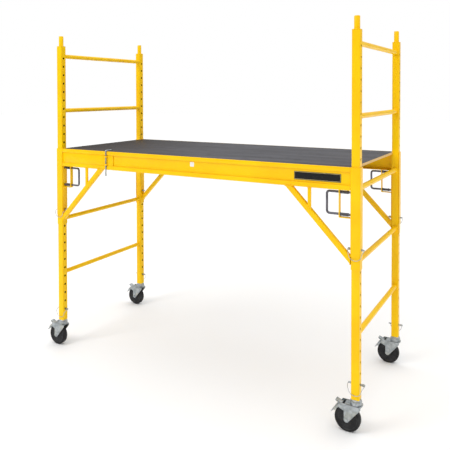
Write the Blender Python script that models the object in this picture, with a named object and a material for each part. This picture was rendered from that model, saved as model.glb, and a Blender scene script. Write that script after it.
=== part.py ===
"""Rolling baker scaffold: two ladder end frames on swivel casters, and a height-adjustable
platform of two trusses and a plywood deck, pinned into the holed uprights.

Metres, +Z up, floor at z = 0. +X runs along the deck, -Y is the front, where the deck latch is.
Each object is one physical piece. Moving pieces have their origin on their joint's axis.
"""
import bpy
import bmesh
from math import atan2, cos, pi, radians, sin, tan
from mathutils import Matrix, Vector

# ---- driving dimensions ------------------------------------------------------------------
LENGTH = 1.822            # between upright centres, along X
DEPTH = 0.755             # between upright centres, along Y
CENTRE_X = 0.0360         # end frames' mid-plane; the casters trail to -X, the origin is the box centre
GAP = 0.0003              # between touching pieces

TUBE = 0.0381             # square upright
TUBE_WALL = 0.0025
TUBE_BOTTOM = 0.158
TUBE_TOP = 1.818
HOLE_PITCH = 0.0508
HOLE_COUNT = 31
HOLE_TOP = 1.748          # centre of the highest pin hole
HOLE_RADIUS = 0.0069

RUNG_RADIUS = 0.0127
RUNG_WALL = 0.002
RUNG_TOP = 1.761
RUNG_SPACING = 0.3287
RUNG_COUNT = 5

COUPLER_RADIUS = 0.0135   # stacking pin on top of each upright
COUPLER_TOP = 1.882
COUPLER_DOWN = 0.045
CAP_THICK = 0.003

SLEEVE = 0.0458           # three-sided channel around the upright, outside
SLEEVE_CLEAR = 0.0006
SLEEVE_BOTTOM = 0.744
DECK_TOP = 1.204
DECK_THICK = 0.0125
DECK_END = 0.8965         # half length, between the uprights
BEAM_BOTTOM = 1.0985
BEAM_WIDTH = 0.039
SHEET = 0.0035            # rolled beam's steel
BEAM_BAND = 0.022         # height of the proud bands at the top and bottom of a beam
BEAM_RECESS = 0.008       # how far the web sits behind the bands

BRACE = 0.0254            # square diagonal tube
BRACE_WALL = 0.002
BRACE_FOOT = 0.786        # height of its centre line at the sleeve
BRACE_HEAD = 0.588        # |x| of its centre line under the beam
STRUT_X = 0.693
STRUT_WIDTH = 0.016
STRUT_DEPTH = 0.010

C_PIN_HOLES = (13, 15)    # counted from the top hole
C_PIN_RADIUS = 0.0055
C_PIN_BAR = 0.772         # |x| of the handle bar
C_PIN_REACH = 0.910       # |x| of the leg tips, inside the upright
C_PIN_BEND = 0.010
STOP_X = 0.874            # |x| of the spring stop on each leg
STOP_RADIUS = 0.0078
BRACKET_X = 0.8305        # |x| of the bracket plate's handle side
BRACKET_THICK = 0.004
BRACKET_WIDTH = 0.020
BRACKET_BOTTOM = 0.9725

SNAP_HOLE = 18            # truss snap pin
CASTER_HOLE = 30          # caster snap pin
SNAP_RADIUS = 0.004
HEAD_RADIUS = 0.0062
WIRE_RADIUS = 0.0013
BAIL_DROP = 0.046

LATCH_X = -0.541
LATCH_RADIUS = 0.004
LATCH_REACH = 0.047       # of the hook over the deck
LATCH_FOOT = 1.064
DOUBLER_END = -0.495      # inner end of the plate that backs the latch

WHEEL_RADIUS = 0.060
WHEEL_HALF = 0.016
HUB_HALF = 0.0190
TRAIL = 0.038             # axle behind the swivel axis
AXLE_RADIUS = 0.0055
FORK_HALF = 0.0235
FORK_SHEET = 0.003
FORK_TOP = 0.1315
RACE_RADIUS = 0.0265
RACE_TOP = 0.1515
STEM_RADIUS = 0.0155
STEM_TOP = 0.262
PEDAL_PIVOT = (-0.0660, 0.1210)

SIDES = {"front": -1, "rear": 1}
ENDS = {"left": -1, "right": 1}
CORNERS = [(side, end) for side in SIDES for end in ENDS]

# name: colour, roughness, metallic
FINISHES = {
    "yellow": ((0.93, 0.60, 0.02), 0.38, 0.0),
    "zinc": ((0.52, 0.55, 0.58), 0.35, 1.0),
    "dark_steel": ((0.05, 0.05, 0.06), 0.45, 0.6),
    "deck_black": ((0.045, 0.045, 0.05), 0.75, 0.0),
    "rubber": ((0.02, 0.02, 0.02), 0.65, 0.0),
}


# ---- helpers -----------------------------------------------------------------------------
def clear_scene():
    for obj in list(bpy.data.objects):
        bpy.data.objects.remove(obj, do_unlink=True)


def finish(name):
    colour, roughness, metallic = FINISHES[name]
    material = bpy.data.materials.get(name) or bpy.data.materials.new(name)
    material.use_nodes = True
    shader = material.node_tree.nodes["Principled BSDF"]
    shader.inputs["Base Color"].default_value = (*colour, 1.0)
    shader.inputs["Roughness"].default_value = roughness
    shader.inputs["Metallic"].default_value = metallic
    return material


def new_object(name, bm, material, origin=(0.0, 0.0, 0.0)):
    """Makes an object of a world-space bmesh, with its origin at the given point."""
    bmesh.ops.remove_doubles(bm, verts=bm.verts, dist=1e-6)
    bmesh.ops.recalc_face_normals(bm, faces=bm.faces)
    bmesh.ops.translate(bm, verts=bm.verts, vec=-Vector(origin))
    mesh = bpy.data.meshes.new(name)
    bm.to_mesh(mesh)
    bm.free()
    mesh.materials.append(finish(material))
    mesh.shade_smooth()
    mesh.set_sharp_from_angle(angle=radians(35))
    obj = bpy.data.objects.new(name, mesh)
    obj.location = origin
    bpy.context.collection.objects.link(obj)
    return obj


def boolean(target, tool, operation):
    """Cuts target with tool, or joins tool to it; the tool becomes a hidden guide."""
    tool.hide_render = True
    tool.display_type = "WIRE"
    tool.name = f"{target.name}_tool"
    modifier = target.modifiers.new(operation.title(), "BOOLEAN")
    modifier.object = tool
    modifier.operation = operation
    modifier.solver = "EXACT"


def add_box(bm, low, high):
    v = [bm.verts.new((x, y, z)) for z in (low[2], high[2]) for y in (low[1], high[1]) for x in (low[0], high[0])]
    for quad in ((0, 2, 3, 1), (4, 5, 7, 6), (0, 1, 5, 4), (2, 6, 7, 3), (0, 4, 6, 2), (1, 3, 7, 5)):
        bm.faces.new([v[i] for i in quad])


def add_prism(bm, outline, axis, low, high):
    """Extrudes a closed outline of 2-D points along an axis, from low to high."""
    order = {"X": (2, 0, 1), "Y": (0, 2, 1), "Z": (0, 1, 2)}[axis]

    def place(point, along):
        values = (point[0], point[1], along)
        return Vector([values[i] for i in order])

    bottom = [bm.verts.new(place(point, low)) for point in outline]
    top = [bm.verts.new(place(point, high)) for point in outline]
    bm.faces.new(bottom[::-1])
    bm.faces.new(top)
    for i in range(len(outline)):
        j = (i + 1) % len(outline)
        bm.faces.new((bottom[i], bottom[j], top[j], top[i]))


def add_cylinder(bm, radius, start, end, segments=12):
    start, end = Vector(start), Vector(end)
    turn = Vector((0, 0, 1)).rotation_difference(end - start).to_matrix().to_4x4()
    place = Matrix.Translation((start + end) / 2) @ turn
    bmesh.ops.create_cone(bm, cap_ends=True, segments=segments, radius1=radius, radius2=radius,
                          depth=(end - start).length, matrix=place)


def add_turned(bm, profile, centre, axis, segments=20):
    """Spins a closed profile of (radius, along) points about an axis through centre."""
    turn = {"Y": Matrix.Rotation(-pi / 2, 4, "X"), "Z": Matrix.Identity(4)}[axis]
    place = Matrix.Translation(centre) @ turn
    rings = []
    for k in range(segments):
        angle = 2 * pi * k / segments
        points = [place @ Vector((r * cos(angle), r * sin(angle), along)) for r, along in profile]
        rings.append([bm.verts.new(point) for point in points])
    for k in range(segments):
        here, there = rings[k], rings[(k + 1) % segments]
        for i in range(len(profile)):
            j = (i + 1) % len(profile)
            bm.faces.new((here[i], there[i], there[j], here[j]))


def add_rod(bm, stations, segments=8):
    """Sweeps a round section along (point, radius) stations; equal points make a step."""
    points = [Vector(point) for point, _ in stations]
    radii = [radius for _, radius in stations]
    tangents = []
    for i, point in enumerate(points):
        ahead = next((q for q in points[i + 1:] if (q - point).length > 1e-7), None)
        behind = next((q for q in points[i - 1::-1] if (point - q).length > 1e-7), None) if i else None
        parts = []
        if ahead is not None:
            parts.append((ahead - point).normalized())
        if behind is not None:
            parts.append((point - behind).normalized())
        tangents.append(sum(parts, Vector()).normalized())
    side = tangents[0].orthogonal().normalized()
    rings = []
    for i, (point, tangent) in enumerate(zip(points, tangents)):
        side = (side - tangent * side.dot(tangent)).normalized()
        up = tangent.cross(side)
        ring = []
        for k in range(segments):
            angle = 2 * pi * k / segments
            ring.append(bm.verts.new(point + (side * cos(angle) + up * sin(angle)) * radii[i]))
        rings.append(ring)
    for here, there in zip(rings, rings[1:]):
        for k in range(segments):
            n = (k + 1) % segments
            bm.faces.new((here[k], here[n], there[n], there[k]))
    bm.faces.new(rings[0][::-1])
    bm.faces.new(rings[-1])


def arc(centre, radius, start, end, steps):
    """Points on an arc of a 2-D circle, from start to end degrees."""
    angles = [radians(start + (end - start) * i / steps) for i in range(steps + 1)]
    return [(centre[0] + radius * cos(a), centre[1] + radius * sin(a)) for a in angles]


# ---- places ------------------------------------------------------------------------------
def upright_at(side, end):
    return CENTRE_X + ENDS[end] * LENGTH / 2, SIDES[side] * DEPTH / 2


def hole_z(index):
    return HOLE_TOP - index * HOLE_PITCH


def rung_z(index):
    return RUNG_TOP - index * RUNG_SPACING


def along_x(end, distance):
    """World x of a point at a distance from the mid-plane towards one end."""
    return CENTRE_X + ENDS[end] * distance


# ---- end frames --------------------------------------------------------------------------
def make_upright(side, end):
    """Square tube with a row of pin holes through its two X walls."""
    x, y = upright_at(side, end)
    half, inner = TUBE / 2, TUBE / 2 - TUBE_WALL
    levels = [hole_z(i) for i in reversed(range(HOLE_COUNT))]
    bm = bmesh.new()

    def wall(sign_x, offset, inside):
        """One X wall: bands of quads around each hexagonal hole, and the hole's own edge loop."""
        px, edge = x + sign_x * offset, inner if inside else half
        loops = []
        low = TUBE_BOTTOM
        for z in levels:
            high = z + HOLE_PITCH / 2 if z < levels[-1] - 1e-6 else TUBE_TOP
            ring = [bm.verts.new((px, y + a, z + b)) for a, b in arc((0, 0), HOLE_RADIUS, 0, 300, 5)]
            frame = {(s, t): bm.verts.new((px, y + s * edge, low if t < 0 else high))
                     for s in (-1, 1) for t in (-1, 1)}
            ne, se, nw, sw = frame[1, 1], frame[1, -1], frame[-1, 1], frame[-1, -1]
            bm.faces.new((ring[0], ring[1], ne))
            bm.faces.new((ring[1], ring[2], nw, ne))
            bm.faces.new((ring[2], ring[3], nw))
            bm.faces.new((ring[3], sw, nw))
            bm.faces.new((ring[3], ring[4], sw))
            bm.faces.new((ring[4], ring[5], se, sw))
            bm.faces.new((ring[5], ring[0], se))
            bm.faces.new((ring[0], ne, se))
            loops.append(ring)
            low = high
        return loops

    for sign_x in (-1, 1):
        outer_loops = wall(sign_x, half, False)
        inner_loops = wall(sign_x, inner, True)
        for outer, inside in zip(outer_loops, inner_loops):
            for k in range(6):
                n = (k + 1) % 6
                bm.faces.new((outer[k], outer[n], inside[n], inside[k]))
    bmesh.ops.remove_doubles(bm, verts=bm.verts, dist=1e-6)

    breaks = sorted({round(v.co.z, 6) for v in bm.verts if abs(abs(v.co.y - y) - half) < 1e-6})
    corner = {(round(v.co.x - x, 5), round(v.co.y - y, 5), round(v.co.z, 6)): v for v in bm.verts}

    def pick(sx, sy, offset, z):
        return corner[round(sx * offset, 5), round(sy * offset, 5), round(z, 6)]

    for offset in (half, inner):
        for sy in (-1, 1):
            for low, high in zip(breaks, breaks[1:]):
                bm.faces.new((pick(-1, sy, offset, low), pick(1, sy, offset, low),
                              pick(1, sy, offset, high), pick(-1, sy, offset, high)))
    for z in (breaks[0], breaks[-1]):
        for a, b in (((-1, -1), (1, -1)), ((1, -1), (1, 1)), ((1, 1), (-1, 1)), ((-1, 1), (-1, -1))):
            bm.faces.new((pick(*a, half, z), pick(*b, half, z), pick(*b, inner, z), pick(*a, inner, z)))
    new_object(f"upright_{side}_{end}", bm, "yellow")


def make_coupling_pin(side, end):
    """Round stacking pin with a square cap that sits on the tube's end."""
    x, y = upright_at(side, end)
    half = TUBE / 2
    bm = bmesh.new()
    add_box(bm, (x - half, y - half, TUBE_TOP + GAP), (x + half, y + half, TUBE_TOP + GAP + CAP_THICK))
    cap = new_object(f"coupling_pin_{side}_{end}", bm, "yellow")
    bm = bmesh.new()
    add_cylinder(bm, COUPLER_RADIUS, (x, y, TUBE_TOP - COUPLER_DOWN), (x, y, COUPLER_TOP))
    boolean(cap, new_object("pin", bm, "yellow"), "UNION")


def make_rung(end, index):
    """Round tube, open at both ends, welded between the two uprights."""
    reach = DEPTH / 2 - TUBE / 2 - GAP
    inside = RUNG_RADIUS - RUNG_WALL
    profile = [(RUNG_RADIUS, reach), (RUNG_RADIUS, -reach), (inside, -reach), (inside, reach)]
    bm = bmesh.new()
    add_turned(bm, profile, (along_x(end, LENGTH / 2), 0, rung_z(index)), "Y", segments=12)
    new_object(f"rung_{end}_{index + 1}", bm, "yellow")


# ---- platform ----------------------------------------------------------------------------
def make_beam(side):
    """Rolled channel: a rim and ledge hold the deck, proud bands stand above and below the web."""
    sign = SIDES[side]
    face = BEAM_WIDTH / 2
    lip = face - SHEET
    web = face - BEAM_RECESS
    back = web - SHEET
    ledge = DECK_TOP - DECK_THICK - GAP
    band_low, band_high = BEAM_BOTTOM + BEAM_BAND, DECK_TOP - BEAM_BAND
    section = [
        (face, DECK_TOP), (lip, DECK_TOP), (lip, ledge), (-face, ledge), (-face, ledge - SHEET),
        (back, ledge - SHEET), (back, BEAM_BOTTOM + SHEET), (-face, BEAM_BOTTOM + SHEET),
        (-face, BEAM_BOTTOM), (face, BEAM_BOTTOM), (face, band_low), (lip, band_low),
        (lip, BEAM_BOTTOM + SHEET), (web, BEAM_BOTTOM + SHEET), (web, band_high), (face, band_high),
    ]
    outline = [(sign * (DEPTH / 2 + out), z) for out, z in section]
    reach = LENGTH / 2 - SLEEVE / 2 - GAP
    bm = bmesh.new()
    add_prism(bm, outline, "X", CENTRE_X - reach, CENTRE_X + reach)
    new_object(f"beam_{side}", bm, "yellow")


def make_sleeve(side, end):
    """Channel that slides on the upright, open towards the rungs, with the C-pin's bracket."""
    x, y = upright_at(side, end)
    sign, toward = SIDES[side], ENDS[end]
    outer, inner = SLEEVE / 2, TUBE / 2 + SLEEVE_CLEAR
    outline = [(x - outer, y + sign * outer), (x + outer, y + sign * outer), (x + outer, y - sign * TUBE / 2),
               (x + inner, y - sign * TUBE / 2), (x + inner, y + sign * inner), (x - inner, y + sign * inner),
               (x - inner, y - sign * TUBE / 2), (x - outer, y - sign * TUBE / 2)]
    bm = bmesh.new()
    add_prism(bm, outline, "Z", SLEEVE_BOTTOM, DECK_TOP)
    sleeve = new_object(f"sleeve_{side}_{end}", bm, "yellow")

    plate = sorted((along_x(end, BRACKET_X), along_x(end, BRACKET_X + BRACKET_THICK)))
    root = x - toward * (outer - SHEET / 2)
    outline = [(plate[0] if toward > 0 else plate[1], BRACKET_BOTTOM),
               (root, BRACKET_BOTTOM), (root, BRACKET_BOTTOM + SHEET),
               (plate[1] if toward > 0 else plate[0], BRACKET_BOTTOM + SHEET),
               (plate[1] if toward > 0 else plate[0], BEAM_BOTTOM - GAP),
               (plate[0] if toward > 0 else plate[1], BEAM_BOTTOM - GAP)]
    bm = bmesh.new()
    add_prism(bm, outline, "Y", y - BRACKET_WIDTH / 2, y + BRACKET_WIDTH / 2)
    boolean(sleeve, new_object("bracket", bm, "yellow"), "UNION")

    bm = bmesh.new()
    for index in C_PIN_HOLES:
        z = hole_z(index)
        add_cylinder(bm, HOLE_RADIUS, (along_x(end, BRACKET_X - 0.01), y, z), (x, y, z), segments=8)
    z = hole_z(SNAP_HOLE)
    add_cylinder(bm, HOLE_RADIUS, (x - SLEEVE, y, z), (x + SLEEVE, y, z), segments=8)
    boolean(sleeve, new_object("drill", bm, "yellow"), "DIFFERENCE")


def make_brace(side, end):
    """Square diagonal tube from the sleeve's foot to the beam, with a short upright strut."""
    sign = SIDES[side]
    face = sign * (DEPTH / 2 + SLEEVE / 2)
    foot_x = LENGTH / 2 - SLEEVE / 2 - GAP
    head_z = BEAM_BOTTOM - GAP
    slope = atan2(head_z - BRACE_FOOT, foot_x - BRACE_HEAD)

    def add_diagonal(bm, inset, past):
        """The diagonal, thinner by an inset all round and run past both of its ends."""
        half = BRACE / 2 - inset
        rise, run = half / cos(slope), half / sin(slope)
        foot_z = BRACE_FOOT - past * tan(slope)
        head_x = BRACE_HEAD - past / tan(slope)
        outline = [(along_x(end, foot_x + past), foot_z - rise), (along_x(end, foot_x + past), foot_z + rise),
                   (along_x(end, head_x + run), head_z + past), (along_x(end, head_x - run), head_z + past)]
        add_prism(bm, outline, "Y", *sorted((face - sign * inset, face - sign * (BRACE - inset))))

    bm = bmesh.new()
    add_diagonal(bm, 0.0, 0.0)
    brace = new_object(f"brace_{side}_{end}", bm, "yellow")
    bm = bmesh.new()
    add_diagonal(bm, BRACE_WALL, 0.010)
    boolean(brace, new_object("hollow", bm, "yellow"), "DIFFERENCE")

    def strut_corner(x, is_top):
        wall_z = BRACE_FOOT + (foot_x - x) * tan(slope) + (BRACE / 2 - BRACE_WALL / 2) / cos(slope)
        return along_x(end, x), head_z if is_top else wall_z

    near, far = STRUT_X - STRUT_WIDTH / 2, STRUT_X + STRUT_WIDTH / 2
    outline = [strut_corner(near, False), strut_corner(far, False),
               strut_corner(far, True), strut_corner(near, True)]
    bm = bmesh.new()
    add_prism(bm, outline, "Y", *sorted((face - sign * 0.0005, face - sign * (0.0005 + STRUT_DEPTH))))
    boolean(brace, new_object("strut", bm, "yellow"), "UNION")


def make_deck():
    """Plywood panel between the beams' rims, notched around the sleeves."""
    wide = DEPTH / 2 + BEAM_WIDTH / 2 - SHEET - GAP
    narrow = DEPTH / 2 - TUBE / 2 - 0.0035
    notch = LENGTH / 2 - SLEEVE / 2 - 0.001
    quarter = [(DECK_END, 0), (DECK_END, narrow), (notch, narrow), (notch, wide)]
    outline = [(CENTRE_X + px, py) for px, py in quarter]
    outline += [(CENTRE_X - px, py) for px, py in reversed(quarter)]
    outline += [(CENTRE_X - px, -py) for px, py in quarter[1:]]
    outline += [(CENTRE_X + px, -py) for px, py in reversed(quarter[1:])]
    bm = bmesh.new()
    add_prism(bm, outline, "Z", DECK_TOP - DECK_THICK, DECK_TOP)
    new_object("deck", bm, "deck_black")


def latch_axis():
    return CENTRE_X + LATCH_X, -(DEPTH / 2 + BEAM_WIDTH / 2 + LATCH_RADIUS + GAP)


def make_latch_plate():
    """Plate in the front beam's left end, with the two eyes that the latch rod turns in."""
    web = BEAM_WIDTH / 2 - BEAM_RECESS + GAP
    front = BEAM_WIDTH / 2 - SHEET - GAP
    low, high = BEAM_BOTTOM + SHEET + GAP, DECK_TOP - BEAM_BAND - GAP
    start = -(LENGTH / 2 - SLEEVE / 2 - GAP)
    x, y = latch_axis()
    bm = bmesh.new()
    add_box(bm, (CENTRE_X + start, -(DEPTH / 2 + front), low),
            (CENTRE_X + DOUBLER_END, -(DEPTH / 2 + web), high))
    plate = new_object("latch_plate", bm, "yellow")
    band_low = BEAM_BOTTOM + BEAM_BAND
    bm = bmesh.new()
    for z in (band_low + 0.004, high - 0.012):
        add_box(bm, (x - 0.008, y - 0.0035, z), (x + 0.008, -(DEPTH / 2 + web + 0.001), z + 0.008))
    boolean(plate, new_object("eyes", bm, "yellow"), "UNION")
    bm = bmesh.new()
    add_cylinder(bm, LATCH_RADIUS + 0.0005, (x, y, BEAM_BOTTOM), (x, y, DECK_TOP))
    boolean(plate, new_object("eye_drill", bm, "yellow"), "DIFFERENCE")


def make_deck_latch():
    """Bent rod whose hook lies over the deck's edge."""
    x, y = latch_axis()
    r = LATCH_RADIUS
    top = DECK_TOP + r + 0.0005
    bend = r + 0.0006
    stations = [((x, y, LATCH_FOOT), r), ((x, y, top - bend), r)]
    for out, up in arc((bend, top - bend), bend, 150, 90, 2):
        stations.append(((x, y + out, up), r))
    stations.append(((x, y + LATCH_REACH, top), r))
    bm = bmesh.new()
    add_rod(bm, stations)
    new_object("deck_latch", bm, "zinc", origin=(x, y, LATCH_FOOT))


def make_c_pin(side, end):
    """U-shaped pin: two legs into the upright's holes and a bar to pull."""
    y = upright_at(side, end)[1]
    high, low = (hole_z(index) for index in C_PIN_HOLES)
    r = C_PIN_RADIUS
    tip = 0.0040
    leg = [(C_PIN_REACH, tip), (C_PIN_REACH - 0.004, r), (STOP_X, r), (STOP_X, STOP_RADIUS),
           (STOP_X - 0.003, STOP_RADIUS), (STOP_X - 0.003, r)]
    stations = [((along_x(end, px), y, high), radius) for px, radius in leg]
    bends = arc((C_PIN_BAR + C_PIN_BEND, high - C_PIN_BEND), C_PIN_BEND, 90, 180, 3)
    bends += arc((C_PIN_BAR + C_PIN_BEND, low + C_PIN_BEND), C_PIN_BEND, 180, 270, 3)
    stations += [((along_x(end, px), y, z), r) for px, z in bends]
    stations += [((along_x(end, px), y, low), radius) for px, radius in reversed(leg)]
    bm = bmesh.new()
    add_rod(bm, stations)
    new_object(f"c_pin_{side}_{end}", bm, "dark_steel", origin=(along_x(end, C_PIN_BAR), y, high))


def make_snap_pin(name, side, end, index, head_side, face):
    """Straight pin with a ball head and a wire bail that hangs round the tube to the pin's tip."""
    x, y = upright_at(side, end)
    z = hole_z(index)
    sign = SIDES[side]
    tip, head = 0.0370, 0.0350
    out = face + 0.0035
    w = WIRE_RADIUS

    def at(across, outward, drop):
        return (x + head_side * across, y + sign * outward, z - drop)

    stations = [(at(-tip, 0, 0), SNAP_RADIUS - 0.0008), (at(-tip + 0.003, 0, 0), SNAP_RADIUS),
                (at(head - 0.006, 0, 0), SNAP_RADIUS), (at(head - 0.005, 0, 0), HEAD_RADIUS - 0.0012),
                (at(head - 0.002, 0, 0), HEAD_RADIUS), (at(head + 0.002, 0, 0), HEAD_RADIUS - 0.0012),
                (at(head + 0.0035, 0, 0), w + 0.001), (at(head + 0.0042, 0.002, 0.0010), w)]
    stations += [(at(head + 0.003, 0.014, 0.005), w), (at(head - 0.003, out, 0.014), w)]
    width = head - 0.006
    for angle in range(0, 181, 30):
        a = radians(angle)
        stations.append((at(width * cos(a), out, 0.020 + (BAIL_DROP - 0.020) * sin(a)), w))
    stations += [(at(-head + 0.001, out, 0.012), w), (at(-tip + 0.0015, 0.010, 0.003), w)]
    bm = bmesh.new()
    add_rod(bm, stations, segments=6)
    new_object(name, bm, "zinc")


# ---- casters -----------------------------------------------------------------------------
def make_caster_stem(side, end):
    """Post in the tube, bearing race and kingpin, with a cross hole for its snap pin."""
    x, y = upright_at(side, end)
    plate_low = FORK_TOP - FORK_SHEET
    profile = [(0.012, plate_low - 0.0058), (0.012, plate_low - GAP), (0.007, plate_low - GAP),
               (0.007, FORK_TOP + GAP), (RACE_RADIUS - 0.003, FORK_TOP + GAP),
               (RACE_RADIUS, FORK_TOP + 0.004),
               (RACE_RADIUS, RACE_TOP - 0.003), (RACE_RADIUS - 0.003, RACE_TOP), (0.022, RACE_TOP),
               (0.022, TUBE_BOTTOM - GAP), (STEM_RADIUS, TUBE_BOTTOM - GAP), (STEM_RADIUS, STEM_TOP - 0.004),
               (STEM_RADIUS - 0.004, STEM_TOP)]
    segments = 12
    bm = bmesh.new()
    rings = []
    for radius, z in profile:
        rings.append([bm.verts.new((x + radius * cos(2 * pi * k / segments),
                                    y + radius * sin(2 * pi * k / segments), z)) for k in range(segments)])
    for here, there in zip(rings, rings[1:]):
        for k in range(segments):
            n = (k + 1) % segments
            bm.faces.new((here[k], here[n], there[n], there[k]))
    bm.faces.new(rings[0][::-1])
    bm.faces.new(rings[-1])
    stem = new_object(f"caster_stem_{side}_{end}", bm, "zinc")
    z = hole_z(CASTER_HOLE)
    bm = bmesh.new()
    add_cylinder(bm, SNAP_RADIUS + 0.0012, (x - TUBE, y, z), (x + TUBE, y, z), segments=8)
    boolean(stem, new_object("drill", bm, "zinc"), "DIFFERENCE")


def make_caster_fork(side, end):
    """Pressed yoke: a top plate, two cheeks that narrow to the axle, and the riveted axle."""
    x, y = upright_at(side, end)
    axle = (-TRAIL, WHEEL_RADIUS)
    cheek = [(0.0260, FORK_TOP), (0.0260, 0.1180)]
    cheek += arc(axle, 0.0120, -34, -180, 4)
    cheek += [(-0.0500, 0.0980), (-0.0740, 0.1080), (-0.0740, 0.1240), (-0.0680, FORK_TOP)]
    plate = [(0.0260, -FORK_HALF), (0.0260, FORK_HALF), (-0.0480, FORK_HALF), (-0.0480, -FORK_HALF)]
    bm = bmesh.new()
    add_prism(bm, [(x + px, y + py) for px, py in plate], "Z", FORK_TOP - FORK_SHEET, FORK_TOP)
    fork = new_object(f"caster_fork_{side}_{end}", bm, "zinc", origin=(x, y, FORK_TOP))
    for sign in (-1, 1):
        low, high = sorted((y + sign * FORK_HALF, y + sign * (FORK_HALF - FORK_SHEET)))
        bm = bmesh.new()
        add_prism(bm, [(x + px, z) for px, z in cheek], "Y", low, high)
        boolean(fork, new_object("cheek", bm, "zinc"), "UNION")
    bm = bmesh.new()
    reach = FORK_HALF + 0.003
    add_cylinder(bm, AXLE_RADIUS, (x + axle[0], y - reach, axle[1]), (x + axle[0], y + reach, axle[1]))
    boolean(fork, new_object("axle", bm, "zinc"), "UNION")
    bm = bmesh.new()
    add_cylinder(bm, 0.0078, (x, y, FORK_TOP - 0.01), (x, y, FORK_TOP + 0.01))
    boolean(fork, new_object("bore", bm, "zinc"), "DIFFERENCE")


def make_wheel(side, end):
    x, y = upright_at(side, end)
    centre = (x - TRAIL, y, WHEEL_RADIUS)
    bore = AXLE_RADIUS + 0.0005
    half = [(bore, HUB_HALF), (0.0150, HUB_HALF), (0.0180, 0.0120), (0.0460, 0.0120), (0.0500, WHEEL_HALF),
            (WHEEL_RADIUS, WHEEL_HALF - 0.004)]
    profile = half + [(radius, -along) for radius, along in reversed(half)]
    bm = bmesh.new()
    add_turned(bm, profile, centre, "Y")
    new_object(f"wheel_{side}_{end}", bm, "rubber", origin=centre)


def make_brake_pedal(side, end):
    """Rocker between the fork's ears: a flanged tread that follows the wheel and a short release tab."""
    x, y = upright_at(side, end)
    axle = (-TRAIL, WHEEL_RADIUS)
    px, pz = PEDAL_PIVOT
    thick = 0.0028
    outer = arc(axle, WHEEL_RADIUS + 0.0110, 116, 158, 4)
    inner = arc(axle, WHEEL_RADIUS + 0.0110 - thick, 158, 116, 4)
    tab = [(px + 0.001, pz), (px + 0.001, pz + 0.004), (-0.0790, 0.1340), (-0.0920, 0.1410),
           (-0.0933, 0.1386), (-0.0805, 0.1314), (-0.0720, 0.1235)]
    tread = outer + [(-0.1125, 0.0790), (-0.1110, 0.0770)] + inner
    half = FORK_HALF - FORK_SHEET - 0.0012
    origin = (x + px, y, pz)
    bm = bmesh.new()
    add_prism(bm, [(x + a, b) for a, b in tread], "Y", y - half, y + half)
    pedal = new_object(f"brake_pedal_{side}_{end}", bm, "zinc", origin=origin)
    flange = arc(axle, WHEEL_RADIUS + 0.0106, 119, 156, 3) + arc(axle, WHEEL_RADIUS + 0.0010, 154, 124, 3)
    for sign in (-1, 1):
        low, high = sorted((y + sign * half, y + sign * (half - 0.002)))
        bm = bmesh.new()
        add_prism(bm, [(x + a, b) for a, b in flange], "Y", low, high)
        boolean(pedal, new_object("flange", bm, "zinc"), "UNION")
    bm = bmesh.new()
    add_prism(bm, [(x + a, b) for a, b in tab], "Y", y - 0.010, y + 0.010)
    boolean(pedal, new_object("tab", bm, "zinc"), "UNION")
    bm = bmesh.new()
    add_cylinder(bm, 0.0045, (x + px, y - half - 0.0006, pz), (x + px, y + half + 0.0006, pz), segments=10)
    boolean(pedal, new_object("barrel", bm, "zinc"), "UNION")


# ---- assembly ----------------------------------------------------------------------------
def build():
    clear_scene()
    for side, end in CORNERS:
        make_upright(side, end)
        make_coupling_pin(side, end)
        make_sleeve(side, end)
        make_brace(side, end)
        make_c_pin(side, end)
        make_snap_pin(f"truss_snap_pin_{side}_{end}", side, end, SNAP_HOLE, -ENDS[end], SLEEVE / 2)
        make_snap_pin(f"caster_snap_pin_{side}_{end}", side, end, CASTER_HOLE, 1, TUBE / 2)
        make_caster_stem(side, end)
        make_caster_fork(side, end)
        make_wheel(side, end)
        make_brake_pedal(side, end)
    for end in ENDS:
        for index in range(RUNG_COUNT):
            make_rung(end, index)
    for side in SIDES:
        make_beam(side)
    make_deck()
    make_latch_plate()
    make_deck_latch()


build()
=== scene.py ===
"""Looks of the rolling baker scaffold: rounded and drilled tubes with weld beads, rolled beams,
a film-faced plywood deck, sprung pull pins, wire bail pins, pressed casters, studio and camera.

Metres, +Z up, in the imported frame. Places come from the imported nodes' boxes.
"""
from math import atan2, cos, pi, radians, sin, sqrt, tan

import bmesh
import bpy
from mathutils import Matrix, Vector


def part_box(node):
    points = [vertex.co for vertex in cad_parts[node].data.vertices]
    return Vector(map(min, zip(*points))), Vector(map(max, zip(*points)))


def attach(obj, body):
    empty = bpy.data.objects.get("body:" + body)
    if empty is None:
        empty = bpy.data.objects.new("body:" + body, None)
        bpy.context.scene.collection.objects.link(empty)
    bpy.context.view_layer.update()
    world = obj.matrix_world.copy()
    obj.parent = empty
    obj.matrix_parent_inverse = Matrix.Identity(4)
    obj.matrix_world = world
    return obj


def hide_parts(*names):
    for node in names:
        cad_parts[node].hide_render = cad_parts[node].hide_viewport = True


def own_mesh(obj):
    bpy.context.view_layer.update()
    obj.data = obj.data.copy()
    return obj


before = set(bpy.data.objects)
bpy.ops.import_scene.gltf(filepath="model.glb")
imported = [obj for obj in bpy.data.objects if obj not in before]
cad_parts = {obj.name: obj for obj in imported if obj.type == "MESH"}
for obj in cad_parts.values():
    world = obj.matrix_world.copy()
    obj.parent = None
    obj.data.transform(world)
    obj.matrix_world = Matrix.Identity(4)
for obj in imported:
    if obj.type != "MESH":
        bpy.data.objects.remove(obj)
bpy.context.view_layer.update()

SIDES = {"front": -1, "rear": 1}
ENDS = {"left": -1, "right": 1}
CORNERS = [(side, end) for side in SIDES for end in ENDS]


# ---- places read from the frame ----------------------------------------------------------
def middle(node):
    low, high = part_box(node)
    return (low + high) / 2


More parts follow.
